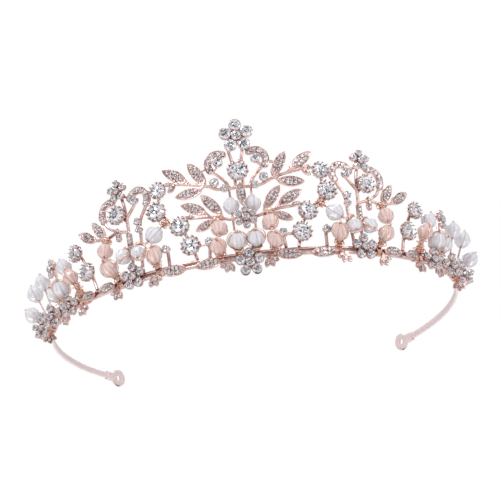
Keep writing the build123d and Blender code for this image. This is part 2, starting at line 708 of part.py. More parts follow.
PINK_BEADS = [
    ((8.0, 9.4, 3.8), (7.9, 14.0, 1.3), 2.8),
    ((8.8, 3.2, 4.7), (8.8, 1.1, 0.95), 2.8),
    ((29.6, 4.9, 4.6), (30.4, 1.1, 0.95), 2.85),
    ((46.4, 4.9, 4.8), (45.6, 1.1, 0.95), 2.8),
    ((65.2, 8.2, 4.6), (63.2, 1.1, 0.95), 2.75),
]


def make_hanging_bead():
    """The bead on the upright wire between the bar and the cross wire."""
    middle, radius = HANGING_BEAD
    return Plane(spot(*middle)) * bored_bead(radius, HANGING_WIRE_RADIUS)


# ---- nodes ----
nodes = {}


def both_sides(name, shapes):
    """Two nodes, the right one and its mirror image."""
    nodes["right_" + name] = shapes
    nodes["left_" + name] = mirrored(shapes)


def one_node(name, right_shapes, middle_shapes=()):
    """One node that holds both sides and whatever lies in the middle."""
    nodes[name] = list(middle_shapes) + right_shapes + mirrored(right_shapes)


nodes["band"] = make_band()
eyelet = make_eyelet()
both_sides("eyelet", eyelet)
both_sides("crimp", make_crimp(nodes["band"], eyelet))
nodes["rail_wires"] = make_rail_wires()
one_node("rail_leaves", make_rail_leaves())
one_node("rail_stones", make_rail_stones())
trefoils = []
for place in TREFOILS:
    trefoils += trefoil(*place)
one_node("trefoil_buds", trefoils)

nodes["centre_frame"] = make_centre_frame()
nodes["top_flower"] = flower(*TOP_FLOWER)
nodes["middle_flower"] = trimmed(flower(*MIDDLE_FLOWER), nodes["centre_frame"])
nodes["base_flower"] = flower(*BASE_FLOWER)
nodes["drop_leaf"] = trimmed(make_drop_leaf(), nodes["centre_frame"])
nodes["centre_flower_stones"] = (
    flower_stones(*TOP_FLOWER) + flower_stones(*MIDDLE_FLOWER) + flower_stones(*BASE_FLOWER))
nodes["centre_pave_stones"] = make_centre_pave()
nodes["centre_claw_cup"] = claw_cup(*CENTRE_STONE)
nodes["centre_claw_stone"] = [claw_stone(*CENTRE_STONE)]
one_node("bezel_cups", [bezel_cup(*place) for place in BEZELS])
one_node("bezel_stones", [bezel_stone(*place) for place in BEZELS])

both_sides("upper_spray", trimmed(make_upper_spray(), nodes["centre_frame"]))
both_sides("lower_spray", trimmed(make_lower_spray(), nodes["centre_frame"]))
both_sides("spray_stones", make_spray_stones())
both_sides("stone_stem", trimmed(make_stone_stem(), nodes["rail_wires"]))
claw_cups = []
for place in CLAW_SET:
    claw_cups += claw_cup(*place)
one_node("claw_cups", claw_cups)
one_node("claw_stones", [claw_stone(*place) for place in CLAW_SET])

both_sides("side_frame", trimmed(make_side_frame(), nodes["rail_wires"]))
both_sides("side_flower", flower(*SIDE_FLOWER))
both_sides("side_base_flower", flower(*SIDE_BASE_FLOWER))
one_node("side_flower_stones", flower_stones(*SIDE_FLOWER) + flower_stones(*SIDE_BASE_FLOWER))
one_node("side_pave_stones", make_side_pave())

both_sides("end_vine", trimmed(make_end_vine(), nodes["rail_wires"]))
end_flowers = []
end_flower_stones = []
for place in END_FLOWERS:
    end_flowers += flower(*place)
    end_flower_stones += flower_stones(*place)
one_node("end_flowers", end_flowers)
one_node("end_flower_stones", end_flower_stones)

both_sides("hanging_bead", [make_hanging_bead()])
bead_wires = []
for name, (middle, root, radius) in SPINNING_BEADS.items():
    both_sides(name, [bead(middle, root, radius)])
    bead_wires += bead_wire(middle, root, radius)
for middle, root, radius in CLEAR_BEADS + PINK_BEADS:
    bead_wires += bead_wire(middle, root, radius)
metal = ["rail_wires", "rail_leaves", "centre_frame"]
metal += ["right_lower_spray", "right_stone_stem", "right_side_frame"]
behind_beads = [shape for name in metal for shape in nodes[name]]
both_sides("bead_wires", trimmed(bead_wires, behind_beads))
one_node("clear_beads", [bead(*place) for place in CLEAR_BEADS])
one_node("pink_beads", [bead(*place) for place in PINK_BEADS])

os.makedirs("parts", exist_ok=True)
for name, shapes in nodes.items():
    export_step(Compound(children=[Compound(shapes)]), f"parts/{name}.step")
print(len(nodes), "nodes")
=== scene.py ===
"""Bridal tiara: the look of every part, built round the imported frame. Metres, +Z up, front towards -Y."""

import math
import random

import bpy
import numpy as np
from mathutils import Matrix, Vector


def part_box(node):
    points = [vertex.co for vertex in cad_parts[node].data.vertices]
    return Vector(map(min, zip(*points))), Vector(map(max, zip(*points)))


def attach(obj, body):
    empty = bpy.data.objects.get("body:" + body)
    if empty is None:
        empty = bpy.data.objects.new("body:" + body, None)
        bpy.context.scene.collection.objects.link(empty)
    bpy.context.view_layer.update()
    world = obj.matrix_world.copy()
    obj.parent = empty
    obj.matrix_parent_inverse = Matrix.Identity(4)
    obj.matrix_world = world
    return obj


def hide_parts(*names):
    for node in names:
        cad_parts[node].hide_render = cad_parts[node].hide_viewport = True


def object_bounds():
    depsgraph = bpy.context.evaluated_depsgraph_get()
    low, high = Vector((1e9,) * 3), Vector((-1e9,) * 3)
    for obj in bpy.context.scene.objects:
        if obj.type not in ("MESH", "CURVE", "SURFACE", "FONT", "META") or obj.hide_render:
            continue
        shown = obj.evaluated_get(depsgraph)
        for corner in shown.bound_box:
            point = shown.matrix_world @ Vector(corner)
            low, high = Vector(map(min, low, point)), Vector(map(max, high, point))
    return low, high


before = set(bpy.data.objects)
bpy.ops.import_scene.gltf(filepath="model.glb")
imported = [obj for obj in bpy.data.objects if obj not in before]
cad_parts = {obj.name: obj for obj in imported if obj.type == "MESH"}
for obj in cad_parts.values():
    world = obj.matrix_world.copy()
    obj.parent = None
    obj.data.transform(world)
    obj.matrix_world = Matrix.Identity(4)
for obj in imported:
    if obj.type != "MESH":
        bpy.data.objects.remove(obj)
cad_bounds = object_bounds()
dice = random.Random(7)

MM = 0.001
ROOT = "tiara"
SIDES = ("right", "left")
# Two unit normals whose product is over this face the same way.
SAME_WAY = 0.9999

band_low, band_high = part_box("band")
BAND_RADIUS = band_high.x
BAND_CENTRE = np.array((0.0, band_low.y + BAND_RADIUS, 0.0))
rail_low, rail_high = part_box("rail_wires")
RAIL_LEVEL = (rail_low.z + rail_high.z) / 2
RAIL_HALF_HEIGHT = (rail_high.z - rail_low.z) / 2
RAIL_REACH = BAND_CENTRE[1] - rail_low.y

# ---- driving dimensions of the finish, in millimetres unless they are counts or shares ----
BAND_THICKNESS = 1.0
BAND_STATIONS = 360
# The band's section, as (distance across, height): heights under 1 are from its lower edge, the others
# are from 2 mm below its upper edge.
BAND_SECTION = [(0.0, 0.3), (0.08, 0.1), (0.28, 0.0), (0.72, 0.0), (0.92, 0.1), (1.0, 0.3),
                (1.0, 1.7), (0.92, 1.9), (0.72, 2.0), (0.28, 2.0), (0.08, 1.9), (0.0, 1.7)]
CAST_VOXEL = 0.1
CAST_ROUNDS = 2
CAST_KEEP = 0.6

# Cut stones. A tone runs from 0, dark, to 1, bright; the tones are painted reflections on each facet.
STONE_SIDES = 16
PETAL_SIDES = 10
PAVE_SIDES = 7
DARK_REFLECTION_TONES = (0.0, 0.35)
PAVE_DARK_REFLECTION_TONES = (0.0, 0.4)
BRIGHT_REFLECTION_TONES = (0.55, 1.0)
# The share of facets with a painted dark reflection in each ring of a cut stone, from its base to its middle.
DARK_REFLECTION_SHARE = {-1: 0, 0: 0.2, 1: 0, 2: 0.08, 3: 0.14, 4: 0.3, 5: 0.48, 6: 0.4}
PETAL_DARKNESS = 1.5
PAVE_DARK_REFLECTION_SHARE = 0.36
# How much wider than its CAD solid each stone is, so that it fills its setting.
CLAW_STONE_FILL = 1.03
PETAL_STONE_FILL = 1.06
PAVE_STONE_FILL = 1.14

# Settings.
CLAW_COUNT = 12
CLAW_WIDTH = 0.25
CLAW_HOOP_WIRE = 0.13
HOOP_STEPS = 32
# A claw from root to tip, as (share of the stone's radius, share of its height, share of the claw's width).
CLAW_PROFILE = [(0.98, -0.05, 1.2), (1.07, 0.28, 1.05), (1.1, 0.62, 1.0), (1.05, 0.86, 0.95),
                (0.95, 1.0, 0.9), (0.86, 1.03, 0.6)]
PLATE_THICKNESS = 0.5
PLATE_SIDES = 36
# The base plate, as (share of the stone's radius, share of the plate's thickness).
PLATE_PROFILE = [(0.8, -1.0), (0.94, -0.8), (1.0, -0.3), (0.97, 0.1), (0.86, 0.15), (0.5, -0.1)]
PETAL_CLAWS = 4
PETAL_CLAW_WIDTH = 0.13
PETAL_CLAW_REACH = 1.04
PETAL_RIM = 0.14
PETAL_RIM_REACH = 1.08
GRAINS = 4
GRAIN_RADIUS = 0.15
GRAIN_REACH = 1.06
GRAIN_LEVEL = 0.62

# Beads.
BEAD_SIDES = 33
BEAD_HALF_LENGTH = 0.95
# Half a bead's outline inwards from its hole's rim, as shares of its radius: (reach, height).
BEAD_OUTLINE = [(0.46, BEAD_HALF_LENGTH), (0.84, 0.5), (0.99, 0.12)]
# Tones of a bead's facets, painted reflection lines: dark stripes, light stripes, and their random spread.
BEAD_DARK_REFLECTION_STRIPES = (0.0, 0.5)
BEAD_LIGHT_REFLECTION_STRIPES = (0.6, 1.0)
BEAD_TONE_SPREAD = 0.15
BEAD_BORE = 0.42
HANGING_BORE = 0.45

# Bead wires. A CAD wire within this reach of a bead's axis is its stem.
STEM_REACH = 0.9
# The lengths at a CAD wire's two ends over which its thickness is read.
LOW_END = 0.3
HIGH_END = 0.12
STRAND_RADIUS = 0.19
STRAND_OFFSET = 0.18
STRAND_PITCH = 1.7
BALL_RADIUS = 0.45
COIL_WIRE = 0.2
COIL_RADIUS = 0.8
COIL_PITCH = 0.5
COIL_LENGTH = 2.4
SHORTEST_COIL = 0.5
COIL_CLEARANCE = 0.15
LOOP_WIRE = 0.16
LOOP_GAP = 0.22
LOOP_SPACING = 0.42
LOOP_HALF_TURN = 148
LOOP_STEPS = 26
# How far the loops lean, in radians: the pair on a clear bead, and the one on a pink bead.
PAIR_LEAN = (-0.25, 0.25)
LONE_LEAN = (0.5, 0.9)
WRAP_TURNS = 5
WRAP_PITCH = 0.42
WRAP_RANGE = 2.5
# 1 would wrap the wire in an ellipse; less is squarer.
WRAP_SQUARENESS = 0.6
NEST_TURNS = 5
NEST_RADIUS = 1.3
NEST_START = 0.3
# The nest's changes of radius and height: their size, and their waves to a turn.
NEST_SWELL = 0.5
NEST_SWELL_WAVES = 0.61
NEST_SWAY = 0.45
NEST_SWAY_WAVES = 0.87
NEST_LEAST = 0.8
# A nest below a bead that turns stops this far short of it, and is left out where it would be too short.
NEST_CLEARANCE = 1.4
NEST_MOST = 2.0
NEST_NEEDS = 2.2
WIRE_STEPS = 14


# ---- reading the frame ----
def solids_of(node):
    """The separate solids of a CAD node, each as an array of triangle corners."""
    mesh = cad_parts[node].data
    mesh.calc_loop_triangles()
    points = np.empty(len(mesh.vertices) * 3)
    mesh.vertices.foreach_get("co", points)
    points = points.reshape(-1, 3)
    triangles = np.empty(len(mesh.loop_triangles) * 3, np.int32)
    mesh.loop_triangles.foreach_get("vertices", triangles)
    triangles = triangles.reshape(-1, 3)
    same = np.unique(np.round(points, 7), axis=0, return_inverse=True)[1].ravel()
    joined = same[triangles]
    labels = np.arange(same.max() + 1)
    while True:
        lower = labels.copy()
        np.minimum.at(lower, joined.ravel(), np.repeat(labels[joined].min(axis=1), 3))
        lower = lower[lower]
        if (lower == labels).all():
            break
        labels = lower
    owner = labels[joined[:, 0]]
    return [points[triangles[owner == label]] for label in np.unique(owner)]


def outward_at(point):
    """The level direction from the band's middle through a point."""
    away = (point - BAND_CENTRE) * (1, 1, 0)
    return away / np.linalg.norm(away)


class Turned:
    """The base, outward axis, radius and height of a turned solid. Its largest flat face sets the axis."""

    def __init__(self, corners):
        normals = np.cross(corners[:, 1] - corners[:, 0], corners[:, 2] - corners[:, 0])
        areas = np.linalg.norm(normals, axis=1)
        kept = areas > 0
        areas = areas[kept]
        normals = normals[kept] / areas[:, None]
        centre = (corners[kept].mean(axis=1) * areas[:, None]).sum(axis=0) / areas.sum()
        flat = (normals @ normals.T > SAME_WAY) @ areas
        axis = normals[flat.argmax()]
        if axis @ outward_at(centre) < 0:
            axis = -axis
        offset = corners.reshape(-1, 3) - centre
        along = offset @ axis
        self.axis = axis
        self.base = centre + axis * along.min()
        self.height = along.max() - along.min()
        self.radius = np.linalg.norm(offset - np.outer(along, axis), axis=1).max()

    def place(self, turn=0.0):
        """The matrix that puts a shape's origin on the base and its z along the axis."""
        return placing(self.base, self.axis, turn)


def placing(origin, axis, turn=0.0):
    """The matrix with this origin whose z is the axis, and whose x is as level as it can be."""
    level = np.cross((0.0, 0.0, 1.0), axis)
    if np.linalg.norm(level) < 1e-3:
        level = np.array((1.0, 0.0, 0.0))
    level = level / np.linalg.norm(level)
    third = np.cross(axis, level)
    matrix = np.eye(4)
    matrix[:3, 0] = level * math.cos(turn) + third * math.sin(turn)
    matrix[:3, 1] = third * math.cos(turn) - level * math.sin(turn)
    matrix[:3, 2] = axis
    matrix[:3, 3] = origin
    return matrix


# ---- building meshes ----
class Build:
    """Gathers the vertices, faces and facet tones of one mesh."""

    def __init__(self):
        self.points = []
        self.faces = []
        self.tones = []
        self.count = 0

    def add(self, shape, place=None):
        """Adds a shape, (points, faces, tones), moved by a matrix."""
        points, faces, tones = shape
        points = np.asarray(points, float)
        if place is not None:
            points = points @ place[:3, :3].T + place[:3, 3]
        self.points.append(points)
        self.faces.extend(tuple(corner + self.count for corner in face) for face in faces)
        self.tones.extend(tones)
        self.count += len(points)


def piece(name, build, material, body=ROOT, nodes=(), smooth=True):
    """Makes the object, lets it ride on its body and stand for its CAD nodes."""
    mesh = bpy.data.meshes.new(name)
    mesh.from_pydata(np.concatenate(build.points).tolist(), [], build.faces)
    mesh.polygons.foreach_set("use_smooth", [smooth] * len(mesh.polygons))
    tone = mesh.attributes.new("tone", "FLOAT", "FACE")
    tone.data.foreach_set("value", build.tones)
    mesh.materials.append(material)
    mesh.update()
    made = bpy.data.objects.new(name, mesh)
    bpy.context.scene.collection.objects.link(made)
    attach(made, body)
    if nodes:
        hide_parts(*nodes)


def ringed(rings, sides, apex=None, looped=False):
    """Points and faces through rings of corners, each (radius, height, half steps of turn).

    The third list has each face's row, from -1 for the base. A looped shape runs back to its first ring.
    """
    points = []
    for radius, height, half in rings:
        for k in range(sides):
            angle = 2 * math.pi * (k + half / 2) / sides
            points.append((radius * math.cos(angle), radius * math.sin(angle), height))
    faces = []
    bands = []
    pairs = list(zip(range(len(rings)), range(1, len(rings))))
    if looped:
        pairs.append((len(rings) - 1, 0))
    for band, (lower, upper) in enumerate(pairs):
        twist = rings[upper][2] - rings[lower][2]
        for k in range(sides):
            near, far = lower * sides + k, lower * sides + (k + 1) % sides
            over, next_over = upper * sides + k, upper * sides + (k + 1) % sides
            if twist == 0:
                new = [(near, far, next_over, over)]
            elif twist == 1:
                new = [(near, far, over), (far, next_over, over)]
            else:
                new = [(near, far, next_over), (near, next_over, over)]
            faces += new
            bands += [band] * len(new)
    if not looped:
        faces.append(tuple(reversed(range(sides))))
        bands.append(-1)
    if apex is not None:
        top = (len(rings) - 1) * sides
        points.append((0.0, 0.0, apex))
        for k in range(sides):
            faces.append((top + k, top + (k + 1) % sides, len(points) - 1))
            bands.append(len(pairs))
    return points, faces, bands


def cut_stone(radius, height, sides, dark=1.0):
    """A foiled cut stone from its base to its table, with the facets seen through the table drawn in, and a
    painted dark or bright reflection on each facet.

    A higher dark makes more of its facets dark with painted reflections.
    """
    crown = min(0.4 * radius, 0.6 * height)
    girdle = height - crown
    belt = 0.08 * radius
    dip = 0.05 * radius
    rings = [(0.7 * radius, 0.0, 0), (radius, girdle - belt, 0), (radius, girdle, 0),
             (0.84 * radius, girdle + 0.55 * crown, 1), (0.64 * radius, height, 0),
             (0.42 * radius, height - dip, 1), (0.2 * radius, height, 0)]
    points, faces, bands = ringed(rings, sides, apex=height - dip)
    # Painted reflections: each facet gets a dark or bright tone.
    tones = []
    for band in bands:
        if dice.random() < dark * DARK_REFLECTION_SHARE[band]:
            tones.append(dice.uniform(*DARK_REFLECTION_TONES))
        else:
            tones.append(dice.uniform(*BRIGHT_REFLECTION_TONES))
    return points, faces, tones


def small_stone(radius, height):
    """A small foiled stone with one row of crown facets round its table, each facet with a painted dark or
    bright reflection.
    """
    crown = min(0.5 * radius, 0.6 * height)
    rings = [(radius, 0.0, 0), (radius, height - crown, 0), (0.62 * radius, height - 0.1 * crown, 1)]
    points, faces, bands = ringed(rings, PAVE_SIDES, apex=height)
    # Painted reflections: crown facets may get a dark tone, the rest bright ones.
    tones = []
    for band in bands:
        if band >= 1 and dice.random() < PAVE_DARK_REFLECTION_SHARE:
            tones.append(dice.uniform(*PAVE_DARK_REFLECTION_TONES))
        else:
            tones.append(dice.uniform(*BRIGHT_REFLECTION_TONES))
    return points, faces, tones


def cut_bead(radius, bore):
    """A glass bead with long facets from hole to hole along z, about its own middle.

    Every third facet is a darker stripe, a painted reflection line; the others carry lighter painted
    reflections.
    """
    half = [(bore, BEAD_HALF_LENGTH * radius)]
    half += [(reach * radius, height * radius) for reach, height in BEAD_OUTLINE]
    rings = [(reach, -height, 0) for reach, height in half]
    rings += [(reach, height, 0) for reach, height in reversed(half)]
    points, faces, bands = ringed(rings, BEAD_SIDES, looped=True)
    # Painted reflections: a dark or light tone to each column of facets.
    stripes = [dice.uniform(*(BEAD_LIGHT_REFLECTION_STRIPES if k % 3 else BEAD_DARK_REFLECTION_STRIPES)) for k in range(BEAD_SIDES)]
    tones = [stripes[k % BEAD_SIDES] + dice.uniform(-BEAD_TONE_SPREAD, BEAD_TONE_SPREAD)
             for k in range(len(bands))]
    return points, faces, tones


def tube(path, radii, sides):
    """A round wire through a list of points, with a radius at each."""
    path = np.asarray(path, float)
    heading = np.gradient(path, axis=0)
    heading /= np.linalg.norm(heading, axis=1)[:, None]
    across = np.cross(heading[0], (0.31, 0.87, 0.38))
    points = []
    for spot, ahead, radius in zip(path, heading, radii):
        across = across - ahead * (across @ ahead)
        across = across / np.linalg.norm(across)
        other = np.cross(ahead, across)
        for k in range(sides):
            angle = 2 * math.pi * k / sides
            points.append(spot + radius * (across * math.cos(angle) + other * math.sin(angle)))
    faces = []
    for ring in range(len(path) - 1):
        for k in range(sides):
            near, far = ring * sides + k, ring * sides + (k + 1) % sides
            faces.append((near, far, far + sides, near + sides))
    faces.append(tuple(reversed(range(sides))))
    faces.append(tuple(range((len(path) - 1) * sides, len(path) * sides)))
    return points, faces, [0.5] * len(faces)


def rounded_ends(count, radius):
    """Radii along a wire whose two ends are rounded off."""
    radii = [radius] * count
    radii[0] = radii[-1] = 0.55 * radius
    return radii


def helix(start, length, radius, pitch, phase=0.0, steps=12):
    """Points on a helix about z."""
    count = max(4, int(steps * length / pitch))
    path = []
    for k in range(count + 1):
        share = k / count
        angle = phase + 2 * math.pi * share * length / pitch
        path.append((radius * math.cos(angle), radius * math.sin(angle), start + share * length))
    return path


def ball(radius, sides=10, rows=6):
    """A round ball about the origin."""
    rings = []
    for row in range(1, rows):
        angle = math.pi * row / rows
        rings.append((radius * math.sin(angle), -radius * math.cos(angle), 0))
    points, faces, _ = ringed(rings, sides, apex=radius)
    return points, faces, [0.5] * len(faces)


def hoop(radius, height, width):
    """A closed ring of wire about z."""
    path = []
    for k in range(HOOP_STEPS + 1):
        angle = 2 * math.pi * k / HOOP_STEPS
        path.append((radius * math.cos(angle), radius * math.sin(angle), height))
    return tube(path, [width] * len(path), 6)


def claw(radius, height, width, turn):
    """One claw that rises outside a stone and folds over its edge."""
    path = [(share * radius * math.cos(turn), share * radius * math.sin(turn), rise * height)
            for share, rise, _ in CLAW_PROFILE]
    return tube(path, [width * part for _, _, part in CLAW_PROFILE], 7)


def cast(node, rounds, keep):
    """A CAD node as one skin with the soft edges and filled corners of cast and soldered metal.

    The skin is smoothed in this many rounds, and keeps this share of its faces.
    """
    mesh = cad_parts[node].data
    points = np.empty(len(mesh.vertices) * 3)
    mesh.vertices.foreach_get("co", points)
    rough = bpy.data.meshes.new("rough")
    rough.from_pydata((points.reshape(-1, 3) / MM).tolist(), [],
                      [tuple(polygon.vertices) for polygon in mesh.polygons])
    holder = bpy.data.objects.new("rough", rough)
    bpy.context.scene.collection.objects.link(holder)
    weld = holder.modifiers.new("weld", "WELD")
    weld.merge_threshold = 0.0005
    remesh = holder.modifiers.new("remesh", "REMESH")
    remesh.mode = "VOXEL"
    remesh.voxel_size = CAST_VOXEL
    smooth = holder.modifiers.new("smooth", "SMOOTH")
    smooth.factor = 0.5
    smooth.iterations = rounds
    if keep < 1:
        fewer = holder.modifiers.new("fewer", "DECIMATE")
        fewer.ratio = keep
    skin = bpy.data.meshes.new_from_object(holder.evaluated_get(bpy.context.evaluated_depsgraph_get()))
    points = np.empty(len(skin.vertices) * 3)
    skin.vertices.foreach_get("co", points)
    faces = [tuple(polygon.vertices) for polygon in skin.polygons]
    bpy.data.objects.remove(holder)
    bpy.data.meshes.remove(rough)
    bpy.data.meshes.remove(skin)
    return points.reshape(-1, 3) * MM, faces, [0.5] * len(faces)


# ---- materials ----
class Recipe:
    """A material with a principled shader, and short calls to add nodes that feed it."""

    def __init__(self, name, **settings):
        self.material = bpy.data.materials.new(name)
        self.material.use_nodes = True
        self.tree = self.material.node_tree
        self.shader = self.tree.nodes["Principled BSDF"]
        for socket, value in settings.items():
            self.shader.inputs[socket.replace("_", " ")].default_value = value

    def node(self, kind, links=None, **values):
        """Adds a node; links gives its linked sockets, and values its settings or plain inputs."""
        made = self.tree.nodes.new(kind)
        for name, value in values.items():
            label = name.replace("_", " ")
            if label in made.inputs:
                made.inputs[label].default_value = value
            else:
                setattr(made, name.lower(), value)
        for socket, source in (links or {}).items():
            self.tree.links.new(source, made.inputs[socket])
        return made

    def noise(self, scale, detail=3.0, roughness=0.5):
        """Noise over the object, with this many cells to the metre."""
        where = self.node("ShaderNodeTexCoord").outputs["Object"]
        return self.node("ShaderNodeTexNoise", {"Vector": where}, Scale=scale, Detail=detail,
                         Roughness=roughness).outputs["Fac"]

    def ramp(self, source, stops):
        """Colours along a value, from (place, colour) stops."""
        made = self.node("ShaderNodeValToRGB", {"Fac": source})
        band = made.color_ramp
        while len(band.elements) < len(stops):
            band.elements.new(0.5)
        for element, (place, colour) in zip(band.elements, stops):
            element.position = place
            element.color = (*colour, 1.0)
        return made.outputs["Color"]

    def spread(self, source, low, high):
        """The value moved from 0.3..0.7, where noise mostly lies, to low..high."""
        made = self.node("ShaderNodeMapRange", {"Value": source}, From_Min=0.3, From_Max=0.7,
                         To_Min=low, To_Max=high)
        return made.outputs["Result"]

    def product(self, first, second):
        """Two colours multiplied."""
        made = self.node("ShaderNodeMix", {6: first, 7: second}, data_type="RGBA", blend_type="MULTIPLY")
        made.inputs[0].default_value = 1.0
        return made.outputs[2]

    def feed(self, **sources):
        """Links sockets to the principled shader's inputs."""
        for name, source in sources.items():
            self.tree.links.new(source, self.shader.inputs[name.replace("_", " ")])

    def bump(self, source, strength, distance):
        """Bump on the shader from a height value; the distance is in metres."""
        made = self.node("ShaderNodeBump", {"Height": source}, Strength=strength, Distance=distance)
        self.feed(Normal=made.outputs["Normal"])


def metal_recipe(name, light, middle, dark, shine):
    """Plated metal: cloudy colour, painted shade in its hollows, uneven polish and fine casting grain."""
    made = Recipe(name, Metallic=1.0, Roughness=0.25, Coat_Weight=0.2, Coat_Roughness=0.1)
    clouds = made.ramp(made.noise(350.0, 4.0), [(0.32, dark), (0.47, middle), (0.66, light)])
    # Painted shade: ambient occlusion darkens the base colour in corners, crevices and between parts, where
    # shade falls.
    corners = made.node("ShaderNodeAmbientOcclusion", Distance=0.9 * MM, samples=6).outputs["AO"]
    painted_crevice_shade = made.ramp(corners, [(0.2, (0.4, 0.27, 0.25)), (0.7, (1.0, 1.0, 1.0))])
    made.feed(Base_Color=made.product(clouds, painted_crevice_shade))
    made.feed(Roughness=made.spread(made.noise(1300.0), shine - 0.09, shine + 0.12))
    made.bump(made.noise(2300.0, 5.0, 0.6), 0.22, 0.05 * MM)
    return made.material


def band_recipe():
    """The arms' satin coating: pale pink over metal, with faint streaks and worn, shinier patches."""
    made = Recipe("satin_band", Metallic=0.35, Coat_Weight=0.4, Coat_Roughness=0.15)
    where = made.node("ShaderNodeTexCoord").outputs["Object"]
    squeezed = made.node("ShaderNodeMapping", {"Vector": where}, Scale=(60.0, 60.0, 900.0))
    streaks = made.node("ShaderNodeTexNoise", {"Vector": squeezed.outputs["Vector"]}, Scale=1.0, Detail=3.0)
    clouds = made.ramp(made.noise(160.0, 3.0), [(0.35, (0.86, 0.7, 0.7)), (0.65, (0.93, 0.79, 0.79))])
    fine = made.ramp(streaks.outputs["Fac"], [(0.3, (0.94, 0.92, 0.92)), (0.7, (1.0, 1.0, 1.0))])
    made.feed(Base_Color=made.product(clouds, fine))
    made.feed(Roughness=made.spread(made.noise(500.0), 0.3, 0.38))
    made.bump(streaks.outputs["Fac"], 0.02, 0.01 * MM)
    return made.material


def stone_recipe(name, deep, mid, bright, metallic):
    """Foiled cut glass: each facet's tone is a painted dark or bright reflection, the brightest painted white
    as glints, and the polish is near perfect.
    """
    made = Recipe(name, Metallic=metallic, Coat_Weight=1.0, Coat_Roughness=0.02, IOR=1.6)
    tone = made.node("ShaderNodeAttribute", attribute_name="tone").outputs["Fac"]
    wisps = made.spread(made.noise(1500.0, 2.0), -0.13, 0.13)
    total = made.node("ShaderNodeMath", {0: tone, 1: wisps}, operation="ADD").outputs["Value"]
    # Painted reflections and glints: the facet tones run from near black to white in the base colour.
    made.feed(Base_Color=made.ramp(total, [(0.05, deep), (0.45, mid), (0.8, bright), (1.0, (1.0, 1.0, 1.0))]))
    made.feed(Roughness=made.spread(made.noise(900.0), 0.04, 0.12))
    return made.material


def bead_recipe(name, shade, body, bright, clearness):
    """Cut glass beads: part clear, with a painted reflection tone to each facet, the brightest painted white
    as glints, and fine polishing marks.
    """
    made = Recipe(name, Transmission_Weight=clearness, IOR=1.5, Coat_Weight=0.6, Coat_Roughness=0.03)
    tone = made.node("ShaderNodeAttribute", attribute_name="tone").outputs["Fac"]
    wisps = made.spread(made.noise(700.0, 3.0), -0.1, 0.1)
    total = made.node("ShaderNodeMath", {0: tone, 1: wisps}, operation="ADD").outputs["Value"]
    # Painted reflections: the shade end of the ramp draws the dark facet lines, the bright end painted
    # highlights.
    made.feed(Base_Color=made.ramp(total, [(0.1, shade), (0.55, body), (0.95, bright)]))
    made.feed(Roughness=made.spread(made.noise(1100.0), 0.05, 0.16))
    made.bump(made.noise(1800.0, 3.0), 0.03, 0.03 * MM)
    return made.material


rose_gold = metal_recipe("rose_gold", (0.96, 0.77, 0.73), (0.79, 0.53, 0.49), (0.42, 0.24, 0.22), 0.2)
pale_gold = metal_recipe("pale_gold", (0.97, 0.86, 0.84), (0.82, 0.66, 0.63), (0.42, 0.3, 0.28), 0.17)
copper = metal_recipe("copper_wire", (1.0, 0.77, 0.65), (0.97, 0.62, 0.49), (0.79, 0.42, 0.31), 0.2)
satin = band_recipe()
crystal = stone_recipe("crystal", (0.022, 0.022, 0.032), (0.4, 0.39, 0.44), (0.85, 0.84, 0.9), 0.45)
pave = stone_recipe("pave_crystal", (0.05, 0.035, 0.04), (0.44, 0.36, 0.38), (0.92, 0.87, 0.89), 0.42)
clear_glass = bead_recipe("clear_glass", (0.74, 0.71, 0.84), (0.96, 0.94, 1.0), (1.0, 1.0, 1.0), 0.3)
pink_glass = bead_recipe("pink_glass", (0.87, 0.53, 0.48), (0.93, 0.65, 0.6), (0.99, 0.86, 0.83), 0.28)


# ---- metal ----
def cast_piece(name, node, rounds=CAST_ROUNDS, material=rose_gold, keep=CAST_KEEP):
    """One cast piece that stands for its CAD node."""
    build = Build()
    build.add(cast(node, rounds, keep))
    piece(name, build, material, nodes=[node])


def band_edge(mesh, side):
    """The angles and heights along the band's upper edge (side 1) or lower edge (side -1)."""
    facing = [polygon for polygon in mesh.polygons if polygon.normal.z * side > 0.7]
    corners = {corner for polygon in facing for corner in polygon.vertices}
    edge = {}
    for corner in corners:
        x, y, z = mesh.vertices[corner].co
        edge[round(math.atan2(x, BAND_CENTRE[1] - y), 5)] = z
    angles = sorted(edge)
    return angles, [edge[angle] for angle in angles]


def band_strip():
    """The band swept afresh between its CAD edges, with rounded corners."""
    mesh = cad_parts["band"].data
    upper_angles, upper = band_edge(mesh, 1)
    lower_angles, lower = band_edge(mesh, -1)
    points = []
    for station in range(BAND_STATIONS + 1):
        angle = upper_angles[0] + (upper_angles[-1] - upper_angles[0]) * station / BAND_STATIONS
        top = np.interp(angle, upper_angles, upper)
        bottom = np.interp(angle, lower_angles, lower)
        for across, up in BAND_SECTION:
            reach = BAND_RADIUS + (across - BAND_THICKNESS) * MM
            height = (bottom if up < 1 else top) + (up if up < 1 else up - 2) * MM
            points.append((reach * math.sin(angle), BAND_CENTRE[1] - reach * math.cos(angle), height))
    sides = len(BAND_SECTION)
    last = BAND_STATIONS * sides
    faces = [tuple(reversed(range(sides))), tuple(range(last, last + sides))]
    for station in range(BAND_STATIONS):
        for k in range(sides):
            near, far = station * sides + k, station * sides + (k + 1) % sides
            faces.append((near, far, far + sides, near + sides))
    build = Build()
    build.add((points, faces, [0.5] * len(faces)))
    piece("band_strip", build, satin, nodes=["band"])


